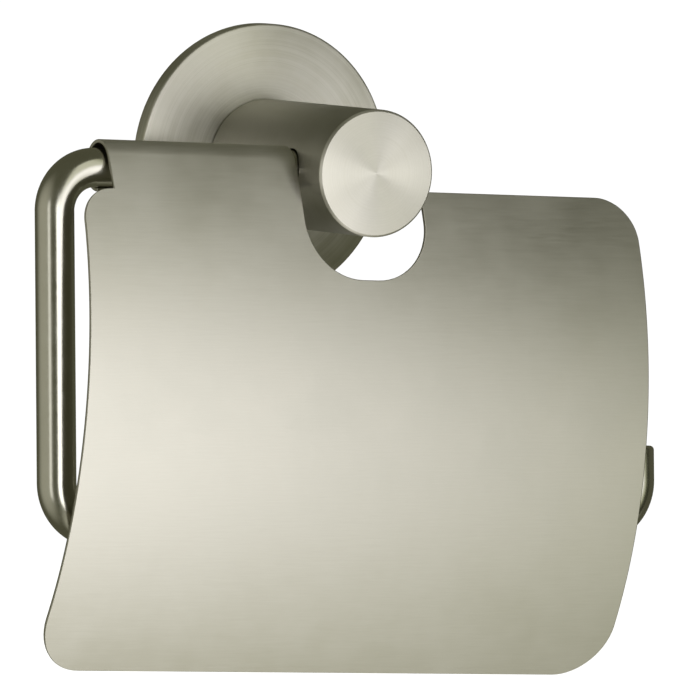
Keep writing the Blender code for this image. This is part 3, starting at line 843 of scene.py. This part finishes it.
def outward(loop):
    """Direction at each outline vertex that moves both of its edges out by one unit."""
    points = [Vector((v.co.x, v.co.y)) for v in loop]
    area = sum(a.x * b.y - a.y * b.x for a, b in zip(points, points[1:] + points[:1]))
    turn = 1.0 if area > 0.0 else -1.0
    result = []
    for k, point in enumerate(points):
        before = (point - points[k - 1]).normalized()
        after = (points[(k + 1) % len(points)] - point).normalized()
        first = Vector((before.y, -before.x)) * turn
        second = Vector((after.y, -after.x)) * turn
        result.append((first + second) / max(1.0 + first.dot(second), 0.4))
    return result


def make_cover(material):
    """Bent sheet with rounded rims, from the curl around the rod down to the panel's lower edge."""
    section = SheetSection()
    flat = flat_cover(section, RIM_ROUND)
    half = SHEET / 2.0
    builder = bmesh.new()
    places = builder.loops.layers.uv.new("sheet")
    flat_places = {}

    def lift(x, s, height):
        middle, normal = section.at(s)
        point = middle + normal * height
        vertex = builder.verts.new((x - COVER_MIDDLE_X, point.x, point.y))
        flat_places[vertex] = (x, s)
        return vertex

    front = {v: lift(v.co.x, v.co.y, half) for v in flat.verts}
    back = {v: lift(v.co.x, v.co.y, -half) for v in flat.verts}
    for face in flat.faces:
        builder.faces.new([front[v] for v in face.verts])
        builder.faces.new([back[v] for v in reversed(face.verts)])
    loop = boundary_loop(flat)
    directions = outward(loop)
    steps = [math.radians(a) for a in (22.5, 45.0, 67.5, 90.0)]
    rings = [[front[v] for v in loop]]
    levels = [(a, 1.0) for a in steps] + [(a, -1.0) for a in reversed(steps)]
    for angle, side in levels:
        reach = RIM_ROUND * math.sin(angle)
        height = side * (half - RIM_ROUND * (1.0 - math.cos(angle)))
        ring = []
        for v, direction in zip(loop, directions):
            ring.append(lift(v.co.x + direction.x * reach, v.co.y + direction.y * reach, height))
        rings.append(ring)
    rings.append([back[v] for v in loop])
    for first, second in zip(rings, rings[1:]):
        bridge(builder, first, second)
    for face in builder.faces:
        for corner in face.loops:
            x, s = flat_places[corner.vert]
            corner[places].uv = (x / 0.2 + 0.5, s / 0.2)
    flat.free()
    hang = Matrix.Translation((COVER_MIDDLE_X, ROD_Y, 0.0)) @ Matrix.Rotation(COVER_SAG, 4, "Y")
    bmesh.ops.transform(builder, matrix=hang, verts=builder.verts)
    cover = finish_piece("cover_sheet", builder, material, "cover", "cover")
    even = cover.modifiers.new("even_shading", "WEIGHTED_NORMAL")
    even.mode = "FACE_AREA"
    even.weight = 100
    return cover


# ---------------------------------------------------------------- studio


def make_floor():
    """Pale round floor under the holder. It lights the scene but stays out of the metal's reflections."""
    builder = bmesh.new()
    bmesh.ops.create_circle(builder, cap_ends=True, segments=96, radius=FLOOR_RADIUS)
    bmesh.ops.translate(builder, vec=(0.0, 0.0, FLOOR_Z), verts=builder.verts)
    floor = raw_object("floor", builder)
    floor.data.materials.append(pale_floor())
    floor.visible_glossy = False


def make_backdrop():
    """White all round, seen by the camera only."""
    builder = bmesh.new()
    bmesh.ops.create_icosphere(builder, subdivisions=4, radius=BACKDROP_RADIUS)
    backdrop = raw_object("backdrop", builder)
    backdrop.data.materials.append(white_backdrop())
    backdrop.visible_glossy = False
    backdrop.visible_diffuse = False
    backdrop.visible_shadow = False
    backdrop.visible_transmission = False


def graded_card_material():
    """Soft light that fades towards the right, towards the top and a little towards the bottom."""
    nodes = Nodes("graded_card")
    nodes.tree.nodes.remove(nodes.shader)
    parts = nodes.add("ShaderNodeSeparateXYZ", {0: nodes.place()})
    across, up = parts.outputs[0], parts.outputs[2]

    def ramp(start, stop, low, high):
        inputs = {"Value": up, "From Min": start, "From Max": stop, "To Min": low, "To Max": high}
        return nodes.add("ShaderNodeMapRange", inputs, interpolation_type="SMOOTHSTEP").outputs["Result"]

    level = nodes.math("ADD", ramp(-0.02, 0.38, 1.42, 0.62), ramp(-0.75, -0.30, -0.42, 0.0))
    slope = nodes.math("ADD", ramp(0.05, 0.28, -CARD_FADE, -2.4), ramp(-0.45, -0.15, 2.2, 0.0))
    fade = nodes.math("MULTIPLY", across, slope)
    edge = {"Value": across, "From Min": 0.0, "From Max": 0.05}
    beyond = nodes.add("ShaderNodeMapRange", edge, interpolation_type="SMOOTHSTEP").outputs["Result"]
    corner = nodes.math("MULTIPLY", beyond, ramp(-0.02, 0.24, 0.0, -0.85))
    total = nodes.math("ADD", nodes.math("ADD", level, fade), corner)
    limited = nodes.math("MINIMUM", total, ramp(0.04, 0.24, 2.20, 0.82))
    strength = nodes.math("MAXIMUM", limited, 0.04)
    colour = nodes.blend(nodes.remap(strength, 0.0, 1.0, 0.2, 1.2), (1.0, 1.05, 0.60), (1.0, 0.99, 1.0))
    glow = nodes.add("ShaderNodeEmission", {"Color": colour, "Strength": strength})
    nodes.tree.links.new(glow.outputs[0], nodes.out.inputs["Surface"])
    return nodes.material


def make_graded_card():
    """Large upright light card in front on the right. It is out of the camera's sight."""
    builder = bmesh.new()
    corners = [(CARD_LEFT, CARD_LOW), (CARD_RIGHT, CARD_LOW), (CARD_RIGHT, CARD_TOP), (CARD_LEFT, CARD_TOP)]
    builder.faces.new([builder.verts.new((x, 0.0, z)) for x, z in corners])
    card = raw_object("light_card", builder)
    card.data.materials.append(graded_card_material())
    right, forward = math.sin(CARD_AZIMUTH), -math.cos(CARD_AZIMUTH)
    card.location = (CARD_DISTANCE * right, -0.05 + CARD_DISTANCE * forward, -0.05)
    card.rotation_euler = (0.0, 0.0, CARD_AZIMUTH)
    card.visible_camera = False
    card.visible_shadow = False


def softbox(name, direction, distance, width, height, brightness):
    """Area light of even brightness, facing the holder."""
    data = bpy.data.lights.new(name, "AREA")
    data.shape = "RECTANGLE"
    data.size = width
    data.size_y = height
    data.energy = brightness * math.pi * width * height
    light = bpy.data.objects.new(name, data)
    bpy.context.scene.collection.objects.link(light)
    target = Vector((0.0, ROD_Y, SOFTBOX_TARGET_Z))
    way = Vector(direction).normalized()
    light.location = target + way * distance
    light.rotation_mode = "QUATERNION"
    light.rotation_quaternion = way.to_track_quat("Z", "Y")


def make_studio():
    """Dim olive room with two soft pale zones, below and at the left, and two softboxes in front."""
    world = bpy.data.worlds.new("studio")
    world.use_nodes = True
    bpy.context.scene.world = world
    tree = world.node_tree
    background = tree.nodes["Background"]
    way = tree.nodes.new("ShaderNodeTexCoord").outputs["Generated"]
    zones = [
        ((0.30, -0.60, -0.75), 0.60, 0.97, (0.82, 0.81, 0.70)),
        ((-0.99, 0.09, -0.05), 0.50, 1.00, (0.34, 0.335, 0.29)),
    ]
    total = None
    for direction, start, full, colour in zones:
        towards = tree.nodes.new("ShaderNodeVectorMath")
        towards.operation = "DOT_PRODUCT"
        tree.links.new(way, towards.inputs[0])
        towards.inputs[1].default_value = Vector(direction).normalized()
        ramp = tree.nodes.new("ShaderNodeMapRange")
        ramp.interpolation_type = "SMOOTHSTEP"
        tree.links.new(towards.outputs["Value"], ramp.inputs["Value"])
        ramp.inputs["From Min"].default_value = start
        ramp.inputs["From Max"].default_value = full
        scaled = tree.nodes.new("ShaderNodeVectorMath")
        scaled.operation = "SCALE"
        scaled.inputs[0].default_value = colour
        tree.links.new(ramp.outputs["Result"], scaled.inputs["Scale"])
        added = tree.nodes.new("ShaderNodeVectorMath")
        added.operation = "ADD"
        tree.links.new(scaled.outputs[0], added.inputs[0])
        if total is None:
            added.inputs[1].default_value = ROOM_COLOUR
        else:
            tree.links.new(total, added.inputs[1])
        total = added.outputs[0]
    tree.links.new(total, background.inputs["Color"])
    softbox("left_softbox", bearing(-62.0), 0.80, 0.18, 0.50, 0.85)
    softbox("front_softbox", bearing(-10.0), 0.90, 0.32, 0.50, 2.4)


def bearing(azimuth):
    """Direction seen from the holder: azimuth 0 is straight out from the wall, and 90 is to the right."""
    turn = math.radians(azimuth)
    return math.sin(turn), -math.cos(turn), 0.0


def make_camera():
    data = bpy.data.cameras.new("camera")
    data.sensor_width = 36.0
    data.lens = CAMERA_LENS
    data.clip_end = 100.0
    camera = bpy.data.objects.new("camera", data)
    bpy.context.scene.collection.objects.link(camera)
    level = Matrix.Rotation(-CAMERA_AZIMUTH, 4, "Z") @ Matrix.Rotation(math.pi / 2.0 - CAMERA_DROP, 4, "X")
    camera.matrix_world = Matrix.Translation(CAMERA_PLACE) @ level @ Matrix.Rotation(CAMERA_ROLL, 4, "Z")
    bpy.context.scene.camera = camera


def build():
    zinc = zinc_plated()
    plastic = nylon()
    make_rosette(rosette_steel())
    make_post(post_steel())
    make_wall_plate(zinc)
    make_grub_screw("plate_set_screw", "plate_grub_screw", GROOVE_Y, PLATE_GRUB_TIP_Z, zinc)
    make_grub_screw("rod_set_screw", "rod_grub_screw", ROD_Y, ROD_GRUB_TIP_Z, zinc)
    for side, sign in (("upper", 1.0), ("lower", -1.0)):
        make_wall_screw(side + "_wood_screw", "wall_screw_" + side, sign * SCREW_Z, zinc)
        make_wall_plug(side + "_plug", "wall_plug_" + side, sign * SCREW_Z, plastic)
    make_rod(rod_steel())
    make_cover(cover_steel())
    make_floor()
    make_backdrop()
    make_graded_card()
    make_studio()
    make_camera()
    bpy.context.scene.view_settings.view_transform = "Standard"


build()
